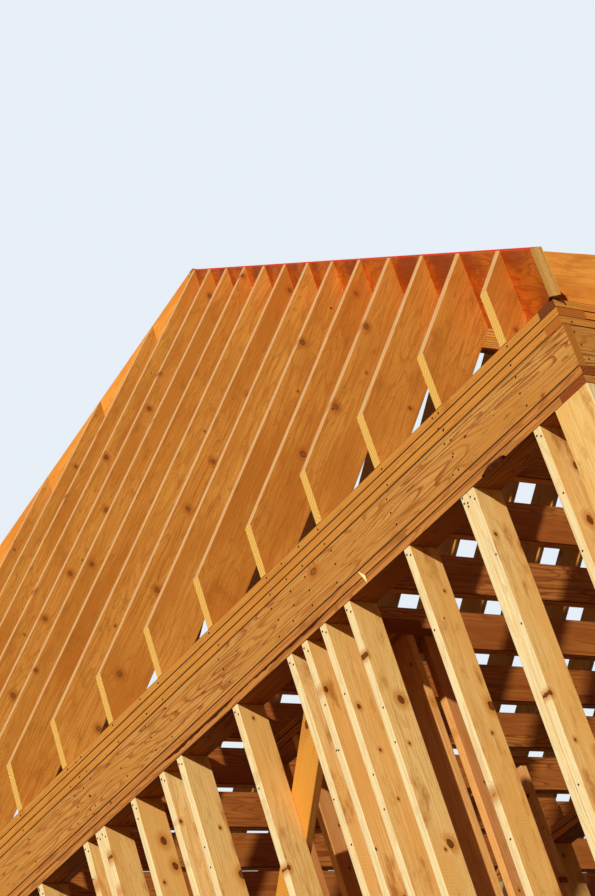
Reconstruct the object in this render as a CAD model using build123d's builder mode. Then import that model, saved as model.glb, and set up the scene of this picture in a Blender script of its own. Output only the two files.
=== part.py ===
from build123d import *
import math
import os

os.makedirs("parts", exist_ok=True)

# Hip end of a framed timber roof, standing on its stud walls, in millimetres.
# X runs along the front wall, Y from the front wall towards the ridge, Z up from the floor.

# Sawn and laminated stock
board = 38.0
stud_width = 140.0
narrow_width = 89.0
joist_depth = 184.0
rafter_depth = 225.0
lvl_thickness = 45.0
lvl_depth = 302.0

# Overall layout
wall_length = 10516.0
spacing = 406.4
first_inset = 275.0
side_inset = 212.0
commons = 13
stud_length = 2353.0

# Roof
front_rise = 16.0
side_rise = 10.0
pitch_run = 12.0
heel = 240.0
side_overhang = 152.0
hip_nose = 5.0
longest_board = 6096.0
end_gap = 1.0

# Gap between boards that stand side by side
pair_gap = 2.0

# Front wall: studs besides the regular ones, as left faces measured from the first stud's,
# and one regular stud that stands out of step
extra_studs = [spacing + board + pair_gap, 1388.0, 1519.0, 2609.0, 3105.0, 3105.0 + board + pair_gap]
drifted_stud = 6
drift = 30.0

# Partition that carries the ceiling joists, the short inner wall behind the front wall and the one
# that crosses to it, and the sole of a second short wall, with one post whose head is still free
partition_inset = 2780.0
inner_wall_inset = 1708.0
inner_stud_inset = 454.0
turned_stud_gap = 60.0
turned_stud_shift = 3.0
cross_wall_inset = 466.0
cross_wall_length = 980.0
cross_stud_inset = 719.0
short_wall_front = 1458.0
short_wall_inset = 2305.0
post_top = 2139.0

# Flat brace across the inner faces of the front studs
brace_inset = 1774.0
brace_lean = 41.0

# Derived layout
half_length = wall_length / 2
front_slope = front_rise / pitch_run
side_slope = side_rise / pitch_run
front_plumb = rafter_depth * math.hypot(1, front_slope)
side_plumb = rafter_depth * math.hypot(1, side_slope)

sole_top = board
stud_top = sole_top + stud_length
lower_top = stud_top + board
wall_top = lower_top + board
joist_top = wall_top + joist_depth
plate_tops = [joist_top + board * n for n in (1, 2, 3)]
seat_z = plate_tops[-1]
eave_z = seat_z + heel

# The hip is set over so that both of its top edges lie in the two roof faces
hip_angle = math.atan2(side_slope, front_slope)
hip_cos = math.cos(hip_angle)
hip_sin = math.sin(hip_angle)
half_lvl = lvl_thickness / 2
hip_x = half_length + half_lvl * (front_slope * hip_cos - side_slope * hip_sin) / side_slope
hip_drop = front_slope * half_lvl * hip_cos
hip_grade = front_slope * hip_sin
hip_plumb = lvl_depth * math.hypot(1, hip_grade)

ridge_top = eave_z + side_slope * (half_length - half_lvl)
ridge_start = (ridge_top - eave_z) / front_slope
hip_end = hip_sin / hip_cos * (hip_x - half_lvl) + half_lvl / hip_cos

# Side rafters stand at even steps, and the last of them close the back end
jack_count = math.ceil((hip_end - side_inset) / spacing)
side_places = [side_inset + spacing * n for n in range(jack_count + commons)]
depth = side_places[-1] + board

# The whole stands centred on the origin: the hip's foot is its foremost point
foot_front = hip_nose * hip_sin - half_lvl * hip_cos
front_y = -(depth + foot_front) / 2
back_y = front_y + depth

front_count = math.floor((wall_length - 2 * first_inset - board) / spacing) + 1
front_places = [half_length - first_inset - board - spacing * n for n in range(front_count)]
shown_count = 10


def save(made, name):
    made.part.label = name
    export_step(made.part, f"parts/{name}.step")


def flat_boards(name, outlines, low, height):
    """Boards between two levels, each outline given as x0, x1, y0, y1."""
    with BuildPart() as made:
        with BuildSketch(Plane.XY.offset(low)):
            for x0, x1, y0, y1 in outlines:
                with Locations(((x0 + x1) / 2, (y0 + y1) / 2)):
                    Rectangle(abs(x1 - x0), abs(y1 - y0))
        extrude(amount=height)
    save(made, name)


def stock_lengths(low, high, from_low):
    """Ends of the boards that fill a run: the longest ones from one end, then a shorter one."""
    boards = []
    start, stop, step = (low, high, longest_board) if from_low else (high, low, -longest_board)
    while abs(stop - start) > longest_board:
        boards.append((start, start + step))
        start += step + math.copysign(end_gap, step)
    boards.append((start, stop))
    return boards


def lengthwise(x0, x1, y0, y1, from_left):
    """A run along X, laid in the longest boards from one end, with the rest in one shorter board."""
    return [(start, stop, y0, y1) for start, stop in stock_lengths(x0, x1, from_left)]


def side_run(side, inner, y0, from_front):
    """A run along Y on one side wall, from the outer face in to a width."""
    outer = side * half_length
    lengths = stock_lengths(y0, back_y, from_front)
    return [(outer - side * inner, outer, start, stop) for start, stop in lengths]


def hip_face(side, offset):
    """Upright plane along one hip, set off from its centre line, facing the ridge."""
    origin = (side * (hip_x + offset / hip_sin), front_y, 0)
    return Plane(origin=origin, x_dir=(-side * hip_cos, hip_sin, 0), z_dir=(side * hip_sin, hip_cos, 0))


def front_rafters(name, places):
    """Rafters of the steep front face, cut to the faces of both hips."""
    reach = hip_end + board
    seat = (front_plumb - heel) / front_slope
    rise = eave_z + front_slope * reach
    with BuildPart() as made:
        for x in places:
            with BuildSketch(Plane.YZ.offset(x)):
                with BuildLine():
                    Polyline(
                        (front_y, seat_z),
                        (front_y, eave_z),
                        (front_y + reach, rise),
                        (front_y + reach, rise - front_plumb),
                        (front_y + seat, seat_z),
                        close=True,
                    )
                make_face()
            extrude(amount=board)
        for side in (1, -1):
            split(bisect_by=hip_face(side, -half_lvl), keep=Keep.BOTTOM)
    save(made, name)


def side_rafters(name, side, places):
    """Rafters of one side face, notched over the side plates and cut to hip or ridge."""
    seat = (side_plumb - heel) / side_slope
    tail = half_length + side_overhang
    tail_z = eave_z - side_slope * side_overhang
    top_z = eave_z + side_slope * half_length
    with BuildPart() as made:
        for y in places:
            with BuildSketch(Plane.XZ.offset(-(front_y + y + board))):
                with BuildLine():
                    Polyline(
                        (side * tail, tail_z),
                        (side * tail, tail_z - side_plumb),
                        (side * half_length, eave_z - side_plumb),
                        (side * half_length, seat_z),
                        (side * (half_length - seat), seat_z),
                        (0, top_z - side_plumb),
                        (0, top_z),
                        close=True,
                    )
                make_face()
            extrude(amount=board)
        split(bisect_by=Plane.YZ.offset(side * half_lvl), keep=Keep.TOP if side > 0 else Keep.BOTTOM)
        if min(places) < hip_end:
            split(bisect_by=hip_face(side, half_lvl), keep=Keep.TOP)
    save(made, name)


def hip_rafter(name, side):
    """One hip: plumb foot on the corner of the plates, head against the ridge."""
    long = hip_x / hip_cos
    foot_z = eave_z - hip_drop + hip_grade * hip_nose
    head_z = eave_z - hip_drop + hip_grade * long
    seat_end = (seat_z - eave_z + hip_drop + hip_plumb) / hip_grade
    middle = Plane(
        origin=(side * hip_x, front_y, 0),
        x_dir=(-side * hip_cos, hip_sin, 0),
        z_dir=(hip_sin, side * hip_cos, 0),
    )
    with BuildPart() as made:
        with BuildSketch(middle):
            with BuildLine():
                Polyline(
                    (hip_nose, seat_z),
                    (hip_nose, foot_z),
                    (long, head_z),
                    (long, head_z - hip_plumb),
                    (seat_end, seat_z),
                    close=True,
                )
            make_face()
        extrude(amount=half_lvl, both=True)
        split(bisect_by=Plane.YZ.offset(side * half_lvl), keep=Keep.TOP if side > 0 else Keep.BOTTOM)
    save(made, name)


# Roof frame
for number in range(min(shown_count, front_count)):
    front_rafters(f"front_rafter_{number + 1:02d}", front_places[number:number + 1])
if front_count > shown_count:
    front_rafters("front_rafters_left_end", front_places[shown_count:])

for side, word in ((1, "right"), (-1, "left")):
    hip_rafter(f"hip_{word}", side)
    side_rafters(f"side_jacks_{word}", side, side_places[:jack_count])
    side_rafters(f"common_rafters_{word}", side, side_places[jack_count:])

with BuildPart() as ridge_beam:
    with BuildSketch(Plane.XY.offset(ridge_top)):
        with Locations((0, (front_y + ridge_start + back_y) / 2)):
            Rectangle(lvl_thickness, back_y - front_y - ridge_start)
    extrude(amount=-lvl_depth)
save(ridge_beam, "ridge_beam")

# Plates under the rafters: at each corner the top and bottom ones of the sides run through
front_back = front_y + stud_width
for layer, word in enumerate(("bottom", "middle", "top")):
    through = word == "middle"
    reach = half_length if through else half_length - narrow_width
    side_start = front_back if through else front_y
    low = plate_tops[layer] - board
    run = lengthwise(-reach, reach, front_y, front_back, through)
    flat_boards(f"front_roof_plate_{word}", run, low, board)
    flat_boards(f"right_roof_plate_{word}", side_run(1, narrow_width, side_start, through), low, board)
    flat_boards(f"left_roof_plate_{word}", side_run(-1, narrow_width, side_start, through), low, board)

# Rim joists
rim_back = front_y + board
front_rim = lengthwise(-half_length, half_length, front_y, rim_back, False)
flat_boards("front_rim_joist", front_rim, wall_top, joist_depth)
flat_boards("right_rim_joist", side_run(1, board, rim_back, True), wall_top, joist_depth)
flat_boards("left_rim_joist", side_run(-1, board, rim_back, True), wall_top, joist_depth)

# Ceiling joists: one run from the rim to the partition, the next beside it on to the rear wall
partition_front = front_y + partition_inset
partition_back = partition_front + stud_width
lap = board + pair_gap
front_joists = [(x, x + board, rim_back, partition_back) for x in front_places]
back_joists = [(x - lap, x - lap + board, partition_front, back_y) for x in front_places]
flat_boards("ceiling_joists", front_joists + back_joists, wall_top, joist_depth)

# Wall plates: the upper front plate and the sole run through, and so do the lower side plates.
# Partition and rear wall stand between the side walls.
inner_length = half_length - stud_width
rear_front = back_y - stud_width
for word, low in (("top_plate_upper", lower_top), ("top_plate_lower", stud_top), ("sole_plate", 0)):
    through = word != "top_plate_lower"
    reach = half_length if through else inner_length
    side_start = front_back if through else front_y
    run = lengthwise(-reach, reach, front_y, front_back, through)
    flat_boards(f"front_{word}", run, low, board)
    flat_boards(f"right_{word}", side_run(1, stud_width, side_start, through), low, board)
    flat_boards(f"left_{word}", side_run(-1, stud_width, side_start, through), low, board)
    run = lengthwise(-inner_length, inner_length, partition_front, partition_back, through)
    flat_boards(f"partition_{word}", run, low, board)
    run = lengthwise(-inner_length, inner_length, rear_front, back_y, through)
    flat_boards(f"rear_{word}", run, low, board)

# Inner wall and the one that crosses to it: the upper plate stops short of the end
inner_right = half_length - inner_wall_inset
inner_left = inner_right - stud_width
inner_y = front_y + inner_stud_inset
turned_y = inner_y + board + turned_stud_gap
inner_end = turned_y + stud_width
inner_run = (inner_left, inner_right, front_back, inner_end)
inner_upper = (inner_left, inner_right, front_back, turned_y)
cross_right = inner_left - end_gap
cross_left = cross_right - cross_wall_length
cross_front = front_y + cross_wall_inset
cross_back = cross_front + stud_width
cross_run = (cross_left, cross_right, cross_front, cross_back)
flat_boards("inner_wall_top_plate_upper", [inner_upper, cross_run], lower_top, board)
flat_boards("inner_wall_top_plate_lower", [inner_run, cross_run], stud_top, board)
flat_boards("inner_wall_sole_plate", [inner_run, cross_run], 0, board)

# Short wall: only its sole and one post
post_front = front_y + short_wall_front
post_right = half_length - short_wall_inset
post_left = post_right - stud_width
flat_boards("short_wall_sole_plate", [(post_left, post_right, post_front, partition_front)], 0, board)
post = [(post_left, post_right, post_front, post_front + board)]
flat_boards("short_wall_post", post, sole_top, post_top - sole_top)

# Studs of the front wall, of the partition and of the rear wall
regular_studs = [x - drift if n == drifted_stud else x for n, x in enumerate(front_places)]
front_studs = regular_studs + [front_places[0] - shift for shift in extra_studs]
flat_boards("front_studs", [(x, x + board, front_y, front_back) for x in front_studs], sole_top, stud_length)
partition_studs = [(x, x + board, partition_front, partition_back) for x in front_places]
flat_boards("partition_studs", partition_studs, sole_top, stud_length)
rear_studs = [(x - lap, x - lap + board, rear_front, back_y) for x in front_places]
flat_boards("rear_studs", rear_studs, sole_top, stud_length)

# Studs of the side walls, the foremost behind the corner post
corner_stud = front_y + board
side_studs = [corner_stud] + [front_y + y for y in side_places]
for side, word in ((1, "right"), (-1, "left")):
    outer = side * half_length
    inner = outer - side * stud_width
    flat_boards(f"{word}_studs", [(inner, outer, y, y + board) for y in side_studs], sole_top, stud_length)
    post = [(outer - side * joist_depth, outer, front_y, front_y + board)]
    flat_boards(f"corner_post_{word}", post, sole_top, stud_length)

# Studs of the inner wall: one across, and at its end one turned edge-on. Then those of the cross wall.
turned_right = inner_right - turned_stud_shift
inner_studs = [
    (inner_left, inner_right, inner_y, inner_y + board),
    (turned_right - board, turned_right, turned_y, turned_y + stud_width),
]
for inset in (board, cross_stud_inset, cross_wall_length):
    inner_studs.append((cross_right - inset, cross_right - inset + board, cross_front, cross_back))
flat_boards("inner_wall_studs", inner_studs, sole_top, stud_length)

# Brace: a wide board nailed flat across the studs, leaning, with level ends
lean = math.tan(math.radians(brace_lean))
brace_width = stud_width / math.cos(math.radians(brace_lean))
brace_top_x = half_length - brace_inset
brace_foot_x = brace_top_x - lean * stud_length
with BuildPart() as wall_brace:
    with BuildSketch(Plane.XZ.offset(-(front_back + board))):
        with BuildLine():
            Polyline(
                (brace_top_x, stud_top),
                (brace_top_x - brace_width, stud_top),
                (brace_foot_x - brace_width, sole_top),
                (brace_foot_x, sole_top),
                close=True,
            )
        make_face()
    extrude(amount=board)
save(wall_brace, "wall_brace")
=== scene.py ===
import math
import random

import bmesh
import bpy
from mathutils import Matrix, Vector, noise


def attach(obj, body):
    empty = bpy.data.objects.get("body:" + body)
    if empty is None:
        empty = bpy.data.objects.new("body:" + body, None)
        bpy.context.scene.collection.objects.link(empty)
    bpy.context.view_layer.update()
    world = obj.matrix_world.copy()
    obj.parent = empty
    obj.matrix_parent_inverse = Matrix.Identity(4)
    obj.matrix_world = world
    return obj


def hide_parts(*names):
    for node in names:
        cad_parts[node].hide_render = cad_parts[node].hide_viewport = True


# Hip roof end on stud walls: every board is dressed as sawn or laminated timber
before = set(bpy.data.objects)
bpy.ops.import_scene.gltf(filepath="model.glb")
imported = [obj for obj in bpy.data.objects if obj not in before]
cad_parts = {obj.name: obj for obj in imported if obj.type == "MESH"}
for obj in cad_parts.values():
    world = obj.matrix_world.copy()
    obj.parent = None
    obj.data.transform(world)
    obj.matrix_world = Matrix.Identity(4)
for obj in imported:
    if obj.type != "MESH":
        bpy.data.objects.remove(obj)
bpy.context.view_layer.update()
print("frame loaded with", len(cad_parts), "nodes")

# The view looks up from below the eaves, at the right front corner
view = {
    "fromCorner": (5.21108, -6.538535, -2.10172),  # camera, from the foot of the walls' right front corner
    "heading": 135.721,  # degrees from +X, about Z
    "rise": 29.0894,
    "roll": -18.6441,
    "lens": 107.155,  # mm on a frame 36 mm high
    "frameHeight": 36.0,
}


def wallCorner():
    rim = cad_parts["front_rim_joist"]
    corners = [rim.matrix_world @ Vector(c) for c in rim.bound_box]
    return Vector((max(c.x for c in corners), min(c.y for c in corners), 0))


def addCamera():
    heading = math.radians(view["heading"])
    rise = math.radians(view["rise"])
    roll = math.radians(view["roll"])
    ahead = Vector((math.cos(rise) * math.cos(heading), math.cos(rise) * math.sin(heading), math.sin(rise)))
    level = ahead.cross(Vector((0, 0, 1))).normalized()
    upright = level.cross(ahead)
    right = level * math.cos(roll) + upright * math.sin(roll)
    up = upright * math.cos(roll) - level * math.sin(roll)
    data = bpy.data.cameras.new("photoView")
    data.sensor_fit = "VERTICAL"
    data.sensor_height = view["frameHeight"]
    data.lens = view["lens"]
    data.clip_end = 400
    camera = bpy.data.objects.new("photoView", data)
    turn = Matrix((right, up, -ahead)).transposed().to_4x4()
    camera.matrix_world = Matrix.Translation(wallCorner() + Vector(view["fromCorner"])) @ turn
    bpy.context.scene.collection.objects.link(camera)
    bpy.context.scene.camera = camera


addCamera()
print("camera set")


# Shader helpers
def put(tree, kind, inputs=None, **settings):
    made = tree.nodes.new("ShaderNode" + kind)
    for key, value in settings.items():
        setattr(made, key, value)
    for key, value in (inputs or {}).items():
        if isinstance(value, bpy.types.NodeSocket):
            tree.links.new(value, made.inputs[key])
        else:
            made.inputs[key].default_value = value
    return made


def calc(tree, operation, *values, clamp=False):
    return put(tree, "Math", dict(enumerate(values)), operation=operation, use_clamp=clamp).outputs[0]


def scaled(tree, vector, factors):
    return put(tree, "VectorMath", {0: vector, 1: factors}, operation="MULTIPLY").outputs[0]


def noiseAt(tree, vector, factors, detail=2.0, roughness=0.5):
    inputs = {"Vector": scaled(tree, vector, factors), "Scale": 1.0, "Detail": detail, "Roughness": roughness}
    return put(tree, "TexNoise", inputs).outputs[0]


def eased(tree, value, low, high, start=0.0, end=1.0):
    inputs = {"Value": value, "From Min": low, "From Max": high, "To Min": start, "To Max": end}
    return put(tree, "MapRange", inputs, interpolation_type="SMOOTHSTEP").outputs[0]


def blended(tree, share, first, second, mode="MIX"):
    made = put(tree, "Mix", {0: share, 6: first, 7: second}, data_type="RGBA", blend_type=mode)
    return made.outputs[2]


def boardReading(tree, name, socket):
    return put(tree, "Attribute", attribute_name=name).outputs[socket]


def newMaterial(name):
    material = bpy.data.materials.new(name)
    material.use_nodes = True
    tree = material.node_tree
    shader = tree.nodes["Principled BSDF"]
    return material, tree, shader


# Finished meshes go into the scene here
def linkedObject(name, mesh, materials):
    data = bpy.data.meshes.new(name)
    mesh.to_mesh(data)
    mesh.free()
    for material in materials:
        data.materials.append(material)
    made = bpy.data.objects.new(name, data)
    bpy.context.scene.collection.objects.link(made)
    return made


# How often each noise changes in a metre, along, across and through a board
sawnNoise = {
    "ragged": (60, 60, 60),
    "drift": (1.3, 7, 7),
    "swell": (0.9, 9, 9),
    "fibre": (8, 260, 260),
    "streak": (1.2, 70, 70),
    "cloud": (1.1, 5, 5),
    "blotch": (5, 13, 13),
    "grit": (130, 200, 200),
    "soot": (7, 60, 60),
}
laminatedNoise = {
    "swirl": (1.6, 9, 2),
    "fleck": (60, 150, 60),
    "check": (5, 260, 40),
    "cloud": (2.2, 5, 3),
    "gather": (1.8, 6, 3),
    "grit": (130, 200, 200),
    "sand": (90, 90, 220),
}
sealerNoise = {"brush": (3, 260, 260), "worn": (6, 40, 40)}


# A thin line in each cycle, which rises slowly and ends sharply, as late wood does
def lineOf(tree, phase, start, width):
    cycle = calc(tree, "FRACT", phase)
    rising = eased(tree, cycle, start, 1 - width)
    return calc(tree, "MULTIPLY", rising, eased(tree, cycle, 1.0, 1 - width * 0.4))


# Knots run straight through the thickness, so they are found on the wide face
def knotReading(tree, place, look):
    cell = look["knotCell"]
    inputs = {"Vector": scaled(tree, place, (0.8 / cell, 1 / cell, 0)), "Scale": 1.0, "Randomness": 0.9}
    knots = put(tree, "TexVoronoi", inputs, voronoi_dimensions="2D")
    chance = put(tree, "SeparateColor", {0: knots.outputs["Color"]}).outputs
    present = calc(tree, "GREATER_THAN", chance[0], 1 - look["knotShare"])
    radius = eased(tree, chance[1], 0, 1, look["knotSmall"] / cell, look["knotLarge"] / cell)
    ragged = calc(tree, "SUBTRACT", noiseAt(tree, place, sawnNoise["ragged"], 3), 0.5)
    away = calc(tree, "DIVIDE", knots.outputs["Distance"], radius)
    away = calc(tree, "ADD", away, calc(tree, "MULTIPLY", ragged, 0.7))
    knot = calc(tree, "MULTIPLY", eased(tree, away, 1.12, 0.9), present)
    halo = calc(tree, "MULTIPLY", eased(tree, away, 3.4, 0.8), present)
    ring = lineOf(tree, calc(tree, "MULTIPLY", away, 2.6), 0.3, 0.2)
    rim = calc(tree, "MULTIPLY", eased(tree, away, 0.7, 0.95), eased(tree, chance[2], 0.2, 0.8, 0.25, 1.0))
    return knot, halo, calc(tree, "MAXIMUM", calc(tree, "MULTIPLY", ring, 0.5), rim)


# Small dark specks: pin knots and pitch
def speckReading(tree, place, look):
    cell = look["speckCell"]
    inputs = {"Vector": scaled(tree, place, (0.7 / cell, 1 / cell, 1 / cell)), "Scale": 1.0}
    specks = put(tree, "TexVoronoi", inputs)
    chance = put(tree, "SeparateColor", {0: specks.outputs["Color"]}).outputs
    present = calc(tree, "GREATER_THAN", chance[0], 1 - look["speckShare"])
    size = eased(tree, chance[1], 0, 1, look["speckSize"] * 0.5 / cell, look["speckSize"] / cell)
    return calc(tree, "MULTIPLY", calc(tree, "LESS_THAN", specks.outputs["Distance"], size), present)


# Sawn softwood: growth rings about a heart that lies outside the board, knots and sawn fibre
def sawnTimber(name, look):
    material, tree, shader = newMaterial(name)
    place = boardReading(tree, "boardPlace", "Vector")
    tone = boardReading(tree, "boardTone", "Fac")
    edge = boardReading(tree, "edgeFace", "Fac")
    end = boardReading(tree, "endFace", "Fac")
    arris = boardReading(tree, "arrisFace", "Fac")
    knot, halo, knotDark = knotReading(tree, place, look)

    # Rings bend round the knots
    spread = put(tree, "VectorMath", {0: scaled(tree, place, (0, 1, 1))}, operation="LENGTH").outputs["Value"]
    drift = calc(tree, "SUBTRACT", noiseAt(tree, place, sawnNoise["drift"], 2.5), 0.5)
    bend = calc(tree, "MULTIPLY", halo, look["ringWidth"] * 2.6)
    wandering = calc(tree, "ADD", spread, calc(tree, "MULTIPLY", drift, look["wander"]))
    phase = calc(tree, "DIVIDE", calc(tree, "ADD", wandering, bend), look["ringWidth"])
    number = calc(tree, "FLOOR", phase)
    strength = put(tree, "TexWhiteNoise", {"W": number}, noise_dimensions="1D").outputs["Value"]
    line = lineOf(tree, phase, look["ringStart"], 0.12)
    rings = calc(tree, "MULTIPLY", line, eased(tree, strength, 0, 1, 0.2, 1.0))

    # Contour lines of the figure, streaks along the grain, fibre, blotches
    swell = noiseAt(tree, place, sawnNoise["swell"], 2.0)
    contour = lineOf(tree, calc(tree, "MULTIPLY", swell, look["contours"]), 0.6, look["contourWidth"])
    fibre = noiseAt(tree, place, sawnNoise["fibre"], 3, 0.65)
    streak = noiseAt(tree, place, sawnNoise["streak"], 2.5, 0.6)
    cloud = noiseAt(tree, place, sawnNoise["cloud"], 3, 0.6)
    blotch = noiseAt(tree, place, sawnNoise["blotch"], 4, 0.6)
    grit = noiseAt(tree, place, sawnNoise["grit"], 2, 0.7)
    dark = calc(tree, "MULTIPLY", rings, look["ringContrast"])
    dark = calc(tree, "MAXIMUM", dark, calc(tree, "MULTIPLY", contour, look["contourContrast"]))
    dark = calc(tree, "ADD", dark, eased(tree, streak, 0.4, 0.72, 0, look["streak"]))
    dark = calc(tree, "ADD", dark, eased(tree, fibre, 0.3, 0.7, -0.1, 0.16))
    dark = calc(tree, "ADD", dark, eased(tree, grit, 0.3, 0.7, -look["grit"], look["grit"]), clamp=True)
    colour = blended(tree, dark, look["pale"], look["late"])
    colour = blended(tree, eased(tree, cloud, 0.38, 0.66, 0, look["cloud"]), colour, look["warm"])
    colour = blended(tree, eased(tree, blotch, 0.52, 0.74, 0, look["blotch"]), colour, look["stain"])
    soot = eased(tree, noiseAt(tree, place, sawnNoise["soot"], 3, 0.6), 0.64, 0.72, 0, look["soot"])
    colour = blended(tree, soot, colour, look["knotRim"])
    colour = blended(tree, calc(tree, "MULTIPLY", tone, look["toneShare"]), colour, look["deep"], "MULTIPLY")
    # Narrow faces take their own colour, darkened with the grain; in the rafters' look it is painted shade
    edgeDark = blended(tree, calc(tree, "MULTIPLY", dark, 0.6), look["edge"], look["late"])
    colour = blended(tree, calc(tree, "MULTIPLY", edge, look["edgeShare"]), colour, edgeDark)
    colour = blended(tree, calc(tree, "MULTIPLY", halo, look["haloShare"]), colour, look["knotHalo"])
    heart = blended(tree, knotDark, look["knotHeart"], look["knotRim"])
    colour = blended(tree, knot, colour, heart)
    speck = speckReading(tree, place, look)
    colour = blended(tree, calc(tree, "MULTIPLY", speck, 0.85), colour, look["knotRim"])
    endRings = calc(tree, "MULTIPLY", lineOf(tree, phase, 0.15, 0.3), 0.75)
    endDark = calc(tree, "ADD", endRings, eased(tree, grit, 0.3, 0.7, -0.1, 0.2), clamp=True)
    colour = blended(tree, end, colour, blended(tree, endDark, look["endGrain"], look["endLate"]))
    # Painted shade: eased arris faces are darkened where boards meet, for the shade in the grooves between
    # them
    colour = blended(tree, calc(tree, "MULTIPLY", arris, look["seamShadeShare"]), colour, look["paintedSeamShade"])
    tree.links.new(colour, shader.inputs["Base Color"])

    rough = calc(tree, "SUBTRACT", look["roughness"], calc(tree, "MULTIPLY", rings, 0.08))
    tree.links.new(rough, shader.inputs["Roughness"])
    teeth = put(tree, "SeparateXYZ", {0: place}).outputs[0]
    teeth = calc(tree, "SINE", calc(tree, "MULTIPLY", teeth, 2 * math.pi / look["sawPitch"]))
    teeth = calc(tree, "MULTIPLY", teeth, eased(tree, cloud, 0.5, 0.7, 0, 0.35))
    height = calc(tree, "ADD", calc(tree, "MULTIPLY", rings, 0.5), calc(tree, "MULTIPLY", fibre, 0.9))
    height = calc(tree, "ADD", height, calc(tree, "ADD", teeth, calc(tree, "MULTIPLY", blotch, 1.5)))
    height = calc(tree, "SUBTRACT", height, calc(tree, "MULTIPLY", knotDark, knot))
    bump = put(tree, "Bump", {"Strength": look["bump"], "Distance": 0.0012, "Height": height})
    tree.links.new(bump.outputs[0], shader.inputs["Normal"])
    shader.inputs["Specular IOR Level"].default_value = 0.12
    return material


# Laminated veneer: rotary figure and dark flecks on the faces, thin plies on the edges
def laminatedTimber(name, look):
    material, tree, shader = newMaterial(name)
    place = boardReading(tree, "boardPlace", "Vector")
    edge = boardReading(tree, "edgeFace", "Fac")
    end = boardReading(tree, "endFace", "Fac")
    parts = put(tree, "SeparateXYZ", {0: place}).outputs
    swirl = noiseAt(tree, place, laminatedNoise["swirl"], 2.5, 0.55)
    figure = lineOf(tree, calc(tree, "MULTIPLY", swirl, look["figure"]), 0.45, 0.12)
    fleck = eased(tree, noiseAt(tree, place, laminatedNoise["fleck"], 3, 0.7), 0.6, 0.7)
    check = eased(tree, noiseAt(tree, place, laminatedNoise["check"], 2), 0.62, 0.7)
    cloud = noiseAt(tree, place, laminatedNoise["cloud"], 3, 0.6)
    gather = eased(tree, noiseAt(tree, place, laminatedNoise["gather"], 2), 0.45, 0.65, 0.15, 1)
    grit = noiseAt(tree, place, laminatedNoise["grit"], 2, 0.7)
    colour = blended(tree, calc(tree, "MULTIPLY", figure, 0.5), look["pale"], look["late"])
    colour = blended(tree, eased(tree, cloud, 0.36, 0.64, 0, 0.85), colour, look["warm"])
    colour = blended(tree, eased(tree, grit, 0.3, 0.7, 0, 0.2), colour, look["late"])
    flecks = calc(tree, "MULTIPLY", calc(tree, "MULTIPLY", fleck, gather), 0.75)
    colour = blended(tree, flecks, colour, look["fleck"])
    colour = blended(tree, calc(tree, "MULTIPLY", check, 0.35), colour, look["fleck"])
    plyPhase = calc(tree, "DIVIDE", parts[2], look["ply"])
    plyNumber = calc(tree, "FLOOR", plyPhase)
    ply = put(tree, "TexWhiteNoise", {"W": plyNumber}, noise_dimensions="1D").outputs["Value"]
    fromMiddle = calc(tree, "ABSOLUTE", calc(tree, "SUBTRACT", calc(tree, "FRACT", plyPhase), 0.5))
    glue = eased(tree, fromMiddle, 0.34, 0.46)
    sand = eased(tree, noiseAt(tree, place, laminatedNoise["sand"], 3, 0.75), 0.45, 0.62)
    layered = blended(tree, ply, look["plyPale"], look["plyDeep"])
    layered = blended(tree, calc(tree, "MULTIPLY", sand, 0.5), layered, look["plyDeep"])
    layered = blended(tree, calc(tree, "MULTIPLY", glue, 0.75), layered, look["glue"])
    colour = blended(tree, calc(tree, "MAXIMUM", edge, end), colour, layered)
    tree.links.new(colour, shader.inputs["Base Color"])
    shader.inputs["Roughness"].default_value = look["roughness"]
    height = calc(tree, "SUBTRACT", calc(tree, "MULTIPLY", figure, 0.4), calc(tree, "ADD", fleck, check))
    bump = put(tree, "Bump", {"Strength": 0.35, "Distance": 0.0012, "Height": height})
    tree.links.new(bump.outputs[0], shader.inputs["Normal"])
    shader.inputs["Specular IOR Level"].default_value = 0.06
    return material


# Red sealer brushed on the edges of the laminated members
def sealedEdge(name, look):
    material, tree, shader = newMaterial(name)
    place = boardReading(tree, "boardPlace", "Vector")
    brush = noiseAt(tree, place, sealerNoise["brush"], 3, 0.6)
    worn = noiseAt(tree, place, sealerNoise["worn"], 4, 0.6)
    colour = blended(tree, eased(tree, brush, 0.3, 0.75), look["red"], look["deepRed"])
    colour = blended(tree, eased(tree, worn, 0.6, 0.75, 0, 0.5), colour, look["bare"])
    tree.links.new(colour, shader.inputs["Base Color"])
    shader.inputs["Roughness"].default_value = 0.8
    shader.inputs["Specular IOR Level"].default_value = 0.04
    bump = put(tree, "Bump", {"Strength": 0.3, "Distance": 0.001, "Height": brush})
    tree.links.new(bump.outputs[0], shader.inputs["Normal"])
    return material


# Boards: each solid of a node gets eased arrises and its own place in the log
def islandsOf(mesh):
    seen = set()
    found = []
    for start in mesh.verts:
        if start in seen:
            continue
        seen.add(start)
        stack = [start]
        island = []
        while stack:
            vert = stack.pop()
            island.append(vert)
            for edge in vert.link_edges:
                other = edge.other_vert(vert)
                if other not in seen:
                    seen.add(other)
                    stack.append(other)
        found.append(island)
    return sorted(found, key=lambda verts: tuple(round(c, 4) for c in verticesCentre(verts)))


def verticesCentre(verts):
    return sum((v.co for v in verts), Vector()) / len(verts)


# Faces of one board, in the same order on every run
def facesOf(verts):
    return list(dict.fromkeys(face for vert in verts for face in vert.link_faces))


def solidOf(nodeName):
    mesh = bmesh.new()
    mesh.from_mesh(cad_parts[nodeName].data)
    bmesh.ops.remove_doubles(mesh, verts=mesh.verts, dist=1e-5)
    bmesh.ops.dissolve_limit(mesh, angle_limit=math.radians(0.5), verts=mesh.verts, edges=mesh.edges)
    return mesh


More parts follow.
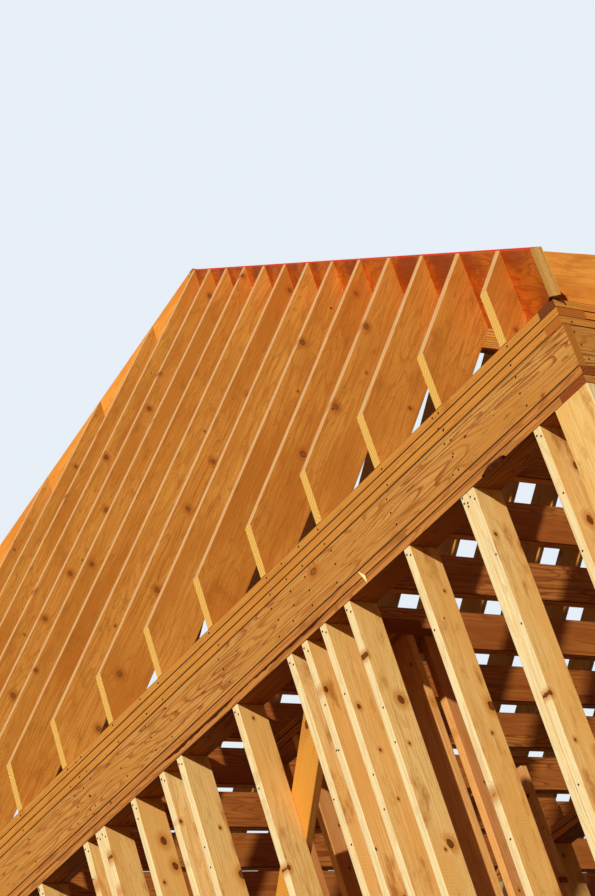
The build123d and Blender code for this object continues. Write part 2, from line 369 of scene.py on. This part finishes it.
def longestEdge(nodeNames):
    best = Vector()
    for nodeName in nodeNames:
        mesh = solidOf(nodeName)
        for edge in mesh.edges:
            run = edge.verts[1].co - edge.verts[0].co
            if run.length > best.length:
                best = run.copy()
        mesh.free()
    return best.normalized()


# The widest faces of a board tell which way it lies
def boardFrame(verts, grain):
    areas = []
    for face in facesOf(verts):
        if abs(face.normal.dot(grain)) < 0.05:
            areas.append((face.calc_area(), tuple(face.normal)))
    through = Vector(max(areas)[1])
    return through.cross(grain).normalized(), through


def easeArrises(mesh, grain, width):
    arrises = []
    for edge in mesh.edges:
        run = (edge.verts[1].co - edge.verts[0].co).normalized()
        if abs(run.dot(grain)) > 0.99 and len(edge.link_faces) == 2 and edge.calc_face_angle(0) > 0.5:
            arrises.append(edge)
    bmesh.ops.bevel(
        mesh, geom=arrises, offset=width, segments=2, profile=0.5, affect="EDGES", clamp_overlap=True
    )


# Where in its log a board was cut, drawn from the board's own name
def pickLog(name, piece):
    chance = random.Random(name)
    return {
        "start": chance.uniform(0, 60),
        "heartAcross": chance.uniform(-0.5, 0.5) * piece["heartAcross"],
        "heartThrough": chance.choice((-1, 1)) * chance.uniform(*piece["heartThrough"]),
        "leanAcross": chance.uniform(-1, 1) * piece["lean"],
        "leanThrough": chance.uniform(-1, 1) * piece["lean"],
        "tone": chance.random(),
    }


def dressNode(nodeName, piece, materials, grain):
    mesh = solidOf(nodeName)
    easeArrises(mesh, grain, piece["easedEdge"])
    mesh.normal_update()
    place = mesh.verts.layers.float_vector.new("boardPlace")
    tone = mesh.verts.layers.float.new("boardTone")
    edgeFace = mesh.faces.layers.float.new("edgeFace")
    endFace = mesh.faces.layers.float.new("endFace")
    arrisFace = mesh.faces.layers.float.new("arrisFace")
    for number, verts in enumerate(islandsOf(mesh)):
        across, through = boardFrame(verts, grain)
        centre = verticesCentre(verts)
        log = pickLog(f"{nodeName} {number}", piece)
        for vert in verts:
            offset = vert.co - centre
            along = offset.dot(grain)
            sideways = offset.dot(across) - log["heartAcross"] + along * log["leanAcross"]
            deep = offset.dot(through) - log["heartThrough"] + along * log["leanThrough"]
            vert[place] = Vector((along + log["start"], sideways, deep))
            vert[tone] = log["tone"]
        for face in facesOf(verts):
            if abs(face.normal.dot(grain)) > 0.05:
                face[endFace] = 1
                continue
            turned = abs(face.normal.dot(across))
            face[edgeFace] = min(1, max(0, (turned - 0.3) / 0.5))
            # arrisFace marks the eased arris faces, which take the painted groove shade
            face[arrisFace] = 1 if 0.08 < turned < 0.99 else 0
            if len(materials) > 1 and face[edgeFace] > 0.9 and face.normal.z > 0:
                face.material_index = 1
    dressed = linkedObject(nodeName + "_dressed", mesh, materials)
    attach(dressed, "root")
    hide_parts(nodeName)


def dressPiece(piece, materials):
    names = sorted(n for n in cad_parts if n.startswith(tuple(piece["nodes"])))
    shared = longestEdge(names) if piece["oneGrain"] else None
    for nodeName in names:
        dressNode(nodeName, piece, materials, shared or longestEdge([nodeName]))
    print(piece["slot"], "boards dressed:", ", ".join(piece["nodes"]))


# Rafters. In every piece, nodes holds the starts of the names of the solids that it dresses.
rafterBoards = {
    "nodes": ["front_rafter"],
    "slot": "rafter_lumber",
    "oneGrain": True,
    "easedEdge": 0.0025,
    "heartAcross": 0.12,
    "heartThrough": (0.05, 0.16),
    "lean": 0.012,
}
sideRafterBoards = dict(rafterBoards, nodes=["side_jacks", "common_rafters"], oneGrain=False)
rafterLook = {
    "pale": (0.76, 0.345, 0.06, 1),
    "late": (0.42, 0.125, 0.014, 1),
    "warm": (0.56, 0.20, 0.026, 1),
    "stain": (0.40, 0.13, 0.016, 1),
    "deep": (0.86, 0.74, 0.60, 1),
    # edge: painted shade, the dull grey of the rafters' top edges in sky-lit shade
    "edge": (0.62, 0.37, 0.16, 1),
    "endGrain": (0.84, 0.52, 0.13, 1),
    "endLate": (0.64, 0.31, 0.055, 1),
    "knotHalo": (0.42, 0.11, 0.012, 1),
    "knotHeart": (0.34, 0.115, 0.018, 1),
    "knotRim": (0.05, 0.012, 0.004, 1),
    "paintedSeamShade": (0.045, 0.012, 0.003, 1),
    "seamShadeShare": 0.0,
    "knotCell": 0.24,
    "knotShare": 0.4,
    "knotSmall": 0.005,
    "knotLarge": 0.015,
    "haloShare": 0.75,
    "speckCell": 0.12,
    "speckShare": 0.3,
    "speckSize": 0.0065,
    "ringWidth": 0.010,
    "ringStart": 0.45,
    "ringContrast": 0.34,
    "contours": 15.0,
    "contourWidth": 0.12,
    "contourContrast": 0.4,
    "wander": 0.05,
    "streak": 0.3,
    "grit": 0.16,
    "soot": 0.0,
    "cloud": 0.85,
    "blotch": 0.55,
    "toneShare": 0.8,
    "edgeShare": 1.0,
    "roughness": 0.7,
    "sawPitch": 0.014,
    "bump": 0.5,
}
rafterTimber = sawnTimber("rafterTimber", rafterLook)
dressPiece(rafterBoards, [rafterTimber])
dressPiece(sideRafterBoards, [rafterTimber])

# Hips and ridge
laminatedBoards = {
    "nodes": ["hip_right", "ridge_beam"],
    "slot": "laminated_lumber",
    "oneGrain": False,
    "easedEdge": 0.0015,
    "heartAcross": 0.1,
    "heartThrough": (0.0, 0.02),
    "lean": 0.0,
}
laminatedLook = {
    "pale": (0.84, 0.20, 0.014, 1),
    "late": (0.46, 0.075, 0.006, 1),
    "warm": (0.36, 0.052, 0.006, 1),
    "fleck": (0.08, 0.012, 0.004, 1),
    "plyPale": (0.62, 0.33, 0.085, 1),
    "plyDeep": (0.36, 0.17, 0.035, 1),
    "glue": (0.10, 0.035, 0.01, 1),
    "ply": 0.0055,
    "figure": 9.0,
    "roughness": 0.7,
}
sealedLook = {
    "red": (0.72, 0.03, 0.008, 1),
    "deepRed": (0.50, 0.018, 0.006, 1),
    "bare": (0.60, 0.12, 0.03, 1),
}
leftHipBoards = dict(laminatedBoards, nodes=["hip_left"])
leftHipLook = dict(
    laminatedLook,
    pale=(0.80, 0.33, 0.05, 1),
    late=(0.58, 0.19, 0.022, 1),
    warm=(0.60, 0.20, 0.025, 1),
)
sealed = sealedEdge("sealedEdge", sealedLook)
dressPiece(laminatedBoards, [laminatedTimber("laminatedTimber", laminatedLook), sealed])
dressPiece(leftHipBoards, [laminatedTimber("leftHipTimber", leftHipLook), sealed])

# Roof plates, and the rim joists under them
plateBoards = {
    "nodes": [
        "front_roof_plate", "right_roof_plate_bottom", "right_roof_plate_middle",
        "left_roof_plate_bottom", "left_roof_plate_middle",
    ],
    "slot": "rim_lumber",
    "oneGrain": False,
    "easedEdge": 0.0032,
    "heartAcross": 0.06,
    "heartThrough": (0.03, 0.09),
    "lean": 0.006,
}
plateLook = dict(
    rafterLook,
    pale=(0.68, 0.315, 0.062, 1),
    late=(0.42, 0.115, 0.012, 1),
    warm=(0.58, 0.225, 0.036, 1),
    stain=(0.36, 0.12, 0.025, 1),
    edge=(0.66, 0.28, 0.045, 1),
    endGrain=(0.50, 0.15, 0.02, 1),
    endLate=(0.38, 0.10, 0.013, 1),
    ringWidth=0.009,
    ringStart=0.5,
    ringContrast=0.9,
    soot=0.5,
    knotShare=0.12,
    knotLarge=0.012,
    streak=0.25,
    edgeShare=0.5,
    # painted shade on the eased arrises, for the grooves between the plates
    seamShadeShare=0.85,
    toneShare=0.7,
)
dressPiece(plateBoards, [sawnTimber("plateTimber", plateLook)])

# The side plates on top get dark ends: painted shade, for the shade under the hips
topPlateBoards = dict(plateBoards, nodes=["right_roof_plate_top", "left_roof_plate_top"])
topPlateLook = dict(plateLook, endGrain=(0.19, 0.05, 0.010, 1), endLate=(0.12, 0.03, 0.006, 1))
dressPiece(topPlateBoards, [sawnTimber("topPlateTimber", topPlateLook)])

rimBoards = dict(
    plateBoards,
    nodes=["front_rim", "right_rim", "left_rim"],
    heartAcross=0.05,
    heartThrough=(0.012, 0.035),
    lean=0.01,
)
rimLook = dict(
    plateLook,
    pale=(0.66, 0.335, 0.082, 1),
    late=(0.30, 0.078, 0.009, 1),
    warm=(0.56, 0.235, 0.042, 1),
    endGrain=(0.52, 0.18, 0.028, 1),
    endLate=(0.40, 0.12, 0.015, 1),
    ringWidth=0.014,
    ringStart=0.55,
    ringContrast=0.95,
    contours=15.0,
    contourContrast=0.8,
    wander=0.035,
    streak=0.3,
    soot=0.75,
    blotch=0.6,
    knotCell=0.4,
    knotShare=0.3,
    knotLarge=0.014,
    speckCell=0.10,
    speckShare=0.45,
)
dressPiece(rimBoards, [sawnTimber("rimTimber", rimLook)])

# Studs and corner posts
studBoards = {
    "nodes": [
        "front_studs", "right_studs", "left_studs", "rear_studs", "partition_studs", "corner_post",
    ],
    "slot": "stud_lumber",
    "oneGrain": False,
    "easedEdge": 0.003,
    "heartAcross": 0.08,
    "heartThrough": (0.02, 0.09),
    "lean": 0.014,
}
studLook = dict(
    rafterLook,
    pale=(0.90, 0.63, 0.25, 1),
    late=(0.64, 0.32, 0.07, 1),
    warm=(0.82, 0.47, 0.135, 1),
    stain=(0.50, 0.21, 0.045, 1),
    deep=(0.92, 0.80, 0.62, 1),
    edge=(0.90, 0.76, 0.43, 1),
    endGrain=(0.80, 0.56, 0.22, 1),
    endLate=(0.60, 0.34, 0.10, 1),
    knotHalo=(0.56, 0.21, 0.03, 1),
    knotHeart=(0.22, 0.06, 0.010, 1),
    knotCell=0.17,
    knotShare=0.55,
    knotLarge=0.016,
    haloShare=0.85,
    ringWidth=0.012,
    ringContrast=0.5,
    contours=14.0,
    contourContrast=0.4,
    cloud=0.9,
    blotch=1.0,
    edgeShare=0.85,
    toneShare=0.7,
)
dressPiece(studBoards, [sawnTimber("studTimber", studLook)])

# Posts of the inner walls are browner and darker: partly their own tone, partly painted shade for the dim
# inside
innerPosts = dict(studBoards, nodes=["inner_wall_studs", "short_wall_post"])
innerPostToneAndShadeLook = dict(
    studLook,
    pale=(0.66, 0.33, 0.12, 1),
    late=(0.46, 0.17, 0.05, 1),
    warm=(0.58, 0.24, 0.075, 1),
    edge=(0.82, 0.44, 0.13, 1),
)
dressPiece(innerPosts, [sawnTimber("innerPostToneAndShadeTimber", innerPostToneAndShadeLook)])

# Brace
braceBoards = dict(studBoards, nodes=["wall_brace"], slot="inner_lumber")
braceLook = dict(
    studLook,
    pale=(0.74, 0.36, 0.065, 1),
    late=(0.56, 0.22, 0.03, 1),
    warm=(0.70, 0.32, 0.05, 1),
    edge=(0.60, 0.26, 0.05, 1),
    knotShare=0.1,
)
dressPiece(braceBoards, [sawnTimber("braceTimber", braceLook)])

# Wall plates and ceiling joists, in a darker, browner look: partly their own tone, partly painted shade for
# the dim inside of the frame
innerBoards = dict(
    plateBoards,
    nodes=[
        "front_top_plate", "right_top_plate", "left_top_plate", "rear_top", "partition_top", "inner_wall_top",
        "front_sole", "right_sole", "left_sole", "rear_sole", "partition_sole", "inner_wall_sole",
        "short_wall_sole", "ceiling_joists",
    ],
    slot="inner_lumber",
)
innerToneAndShadeLook = dict(
    rimLook,
    pale=(0.48, 0.18, 0.038, 1),
    late=(0.20, 0.05, 0.008, 1),
    warm=(0.32, 0.09, 0.016, 1),
    edge=(0.64, 0.25, 0.05, 1),
    edgeShare=0.8,
    endGrain=(0.30, 0.07, 0.01, 1),
    endLate=(0.20, 0.045, 0.007, 1),
    soot=0.3,
    knotShare=0.4,
    knotLarge=0.018,
)
dressPiece(innerBoards, [sawnTimber("innerToneAndShadeTimber", innerToneAndShadeLook)])


# Small plain things that are set on the boards
def plainSkin(name, colour):
    material, tree, shader = newMaterial(name)
    shader.inputs["Base Color"].default_value = colour
    shader.inputs["Roughness"].default_value = 0.9
    shader.inputs["Specular IOR Level"].default_value = 0.05
    return material


def addDressing(name, mesh, material):
    added = linkedObject(name, mesh, [material])
    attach(added, "root")
    print(name, "faces:", len(added.data.polygons))


# Nail heads, driven through the rims into the joists, through the plates and near the heads of the studs
nailHeads = {
    "radius": 0.0045,
    "proud": 0.0006,
    "sides": 8,
    "scatter": 0.006,
    "studHead": [(0.025, 0.009), (0.04, -0.009)],  # below the head, and to the side
    "alongStud": 4,
    "studAside": 0.013,
    "boardAside": 0.02,
    "deepBoard": 0.1,  # boards deeper than this take three nails, others one
    "slot": "rim_lumber",
    "colour": (0.03, 0.010, 0.005, 1),
    "walls": [
        (Vector((0, -1, 0)), "front", ["front_rim_joist", "front_roof_plate_top", "front_roof_plate_bottom"]),
        (Vector((1, 0, 0)), "right", ["right_rim_joist", "right_roof_plate_top", "right_roof_plate_bottom"]),
        (Vector((-1, 0, 0)), "left", ["left_rim_joist", "left_roof_plate_top", "left_roof_plate_bottom"]),
    ],
}


def heightsOf(nodeName):
    levels = [corner[2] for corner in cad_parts[nodeName].bound_box]
    return min(levels), max(levels)


def nailSpots(outward, side, boards):
    chance = random.Random(f"nails {side}")
    studs = solidOf(f"{side}_studs")
    face = max(v.co.dot(outward) for v in studs.verts)
    low, high = heightsOf(f"{side}_studs")
    spots = []
    for verts in islandsOf(studs):
        centre = verticesCentre(verts)
        middle = centre + outward * (face - centre.dot(outward))
        sideways = outward.cross(Vector((0, 0, 1)))
        rows = [(high - below, aside) for below, aside in nailHeads["studHead"]]
        reach = nailHeads["studAside"]
        for _ in range(nailHeads["alongStud"]):
            rows.append((chance.uniform(low, high), chance.uniform(-reach, reach)))
        for nodeName in boards:
            bottom, top = heightsOf(nodeName)
            count = 3 if top - bottom > nailHeads["deepBoard"] else 1
            step = (top - bottom) / count
            reach = nailHeads["boardAside"]
            rows += [(bottom + step * (n + 0.5), chance.uniform(-reach, reach)) for n in range(count)]
        for height, shift in rows:
            jitter = Vector((0, 0, chance.uniform(-1, 1) * nailHeads["scatter"]))
            spots.append(Vector((middle.x, middle.y, height)) + sideways * shift + jitter)
    studs.free()
    return spots


def addNails():
    mesh = bmesh.new()
    for outward, side, boards in nailHeads["walls"]:
        turn = outward.to_track_quat("Z", "Y").to_matrix().to_4x4()
        for spot in nailSpots(outward, side, boards):
            matrix = Matrix.Translation(spot + outward * nailHeads["proud"]) @ turn
            bmesh.ops.create_circle(
                mesh, cap_ends=True, segments=nailHeads["sides"], radius=nailHeads["radius"], matrix=matrix
            )
    addDressing("nailHeads", mesh, plainSkin("nailSteel", nailHeads["colour"]))


addNails()


# Wane: dark ribbons on the front wall's lower top plate, partly bark and partly painted shade for the hollow
# of the missing edge, and a splinter that hangs from its face
wane = {
    "slot": "inner_lumber",
    "step": 0.006,
    "proud": 0.0005,
    "swellPitch": 5.0,
    "swellRange": 0.8,
    "ripplePitch": 28.0,
    "rippleRange": 0.25,
    "lumpPitch": 60.0,
    "leastDepth": 0.15,
    "barkAndShade": (0.07, 0.015, 0.004, 1),
    "edges": [
        {"start": 2.38, "end": 3.78, "atTop": True, "depth": 0.021, "swell": 0.6, "lump": 0.0},
        {"start": 4.645, "end": 4.785, "atTop": False, "depth": 0.024, "swell": 1.1, "lump": 0.012},
    ],
    "splinter": [(3.862, 0.036), (3.893, 0.000), (3.905, -0.046)],
    "splinterOut": 0.012,
    "splinterColour": (0.90, 0.66, 0.28, 1),
}


def addWane():
    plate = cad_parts["front_top_plate_lower"].bound_box
    face = min(corner[1] for corner in plate) - wane["proud"]
    low, high = heightsOf("front_top_plate_lower")
    mesh = bmesh.new()
    for edge in wane["edges"]:
        count = round((edge["end"] - edge["start"]) / wane["step"])
        level, inward = (high, -1) if edge["atTop"] else (low, 1)
        rows = []
        for n in range(count + 1):
            x = edge["start"] + wane["step"] * n
            swell = wane["swellRange"] * noise.noise(Vector((x * wane["swellPitch"], edge["start"], 0)))
            ragged = wane["rippleRange"] * noise.noise(Vector((x * wane["ripplePitch"], 0, level)))
            taper = math.sin(math.pi * n / count) ** 0.4
            depth = edge["depth"] * taper * max(wane["leastDepth"], edge["swell"] + swell + ragged)
            lump = edge["lump"] * (0.5 + noise.noise(Vector((x * wane["lumpPitch"], level, 0))))
            rows.append([
                mesh.verts.new((x, face, level - inward * depth * 0.15)),
                mesh.verts.new((x, face - max(0.0, lump), level + inward * depth * 0.45)),
                mesh.verts.new((x, face, level + inward * depth)),
            ])
        for first, second in zip(rows, rows[1:]):
            for n in range(2):
                mesh.faces.new((first[n], second[n], second[n + 1], first[n + 1]))
    bmesh.ops.recalc_face_normals(mesh, faces=mesh.faces)
    # The ribbons' dark colour is partly bark, partly painted shade in the wane's hollow
    addDressing("plateWane", mesh, plainSkin("barkAndShade", wane["barkAndShade"]))

    mesh = bmesh.new()
    corners = [mesh.verts.new((x, face, high + rise)) for x, rise in wane["splinter"]]
    corners[2].co.y -= wane["splinterOut"]
    mesh.faces.new(corners)
    addDressing("splinter", mesh, plainSkin("splinterWood", wane["splinterColour"]))


addWane()


# Floor, pale where it is seen from above, and clear from below, so that the view from there stays open.
# What it throws back on the timber is the dark tone of bare ground.
floorPlace = {"size": 160.0, "colour": (0.80, 0.80, 0.79, 1), "thrownBack": (0.06, 0.035, 0.02, 1)}


def straightRay(tree):
    ray = put(tree, "LightPath").outputs
    straight = calc(tree, "MAXIMUM", ray["Is Camera Ray"], ray["Is Glossy Ray"])
    return calc(tree, "MAXIMUM", straight, ray["Is Transmission Ray"])


def addFloor():
    mesh = bmesh.new()
    bmesh.ops.create_grid(mesh, x_segments=1, y_segments=1, size=floorPlace["size"] / 2)
    material, tree, shader = newMaterial("paleFloor")
    shader.inputs["Base Color"].default_value = floorPlace["colour"]
    shader.inputs["Roughness"].default_value = 0.9
    ground = put(tree, "BsdfDiffuse", {"Color": floorPlace["thrownBack"]}).outputs[0]
    above = put(tree, "MixShader", {0: straightRay(tree), 1: ground, 2: shader.outputs[0]}).outputs[0]
    under = put(tree, "NewGeometry").outputs["Backfacing"]
    clear = put(tree, "BsdfTransparent").outputs[0]
    mixed = put(tree, "MixShader", {0: under, 1: above, 2: clear}).outputs[0]
    tree.links.new(mixed, tree.nodes["Material Output"].inputs["Surface"])
    linkedObject("floor", mesh, [material])


# Light: a low key from the right front, and pale sky
lighting = {
    "keyTravel": (-0.69, 1.0, -0.516),
    "keyStrength": 4.2,
    "keyAngle": 1.2,  # degrees
    "keyColour": (1.0, 0.96, 0.88),
    "skyColour": (0.88, 0.89, 0.93, 1),
    "skyStrength": 0.17,
    "backdrop": (0.80, 0.86, 0.93, 1),
}


def addLight():
    data = bpy.data.lights.new("key", "SUN")
    data.energy = lighting["keyStrength"]
    data.angle = math.radians(lighting["keyAngle"])
    data.color = lighting["keyColour"]
    key = bpy.data.objects.new("key", data)
    key.rotation_euler = Vector(lighting["keyTravel"]).to_track_quat("-Z", "Y").to_euler()
    bpy.context.scene.collection.objects.link(key)
    world = bpy.data.worlds.new("sky")
    bpy.context.scene.world = world
    world.use_nodes = True
    tree = world.node_tree
    sky = tree.nodes["Background"]
    sky.inputs["Color"].default_value = lighting["skyColour"]
    sky.inputs["Strength"].default_value = lighting["skyStrength"]
    seen = put(tree, "Background", {"Color": lighting["backdrop"], "Strength": 1.0}).outputs[0]
    mixed = put(tree, "MixShader", {0: straightRay(tree), 1: sky.outputs[0], 2: seen}).outputs[0]
    tree.links.new(mixed, tree.nodes["World Output"].inputs["Surface"])


addFloor()
addLight()
bpy.context.scene.view_settings.view_transform = "Standard"
print("floor and light set")
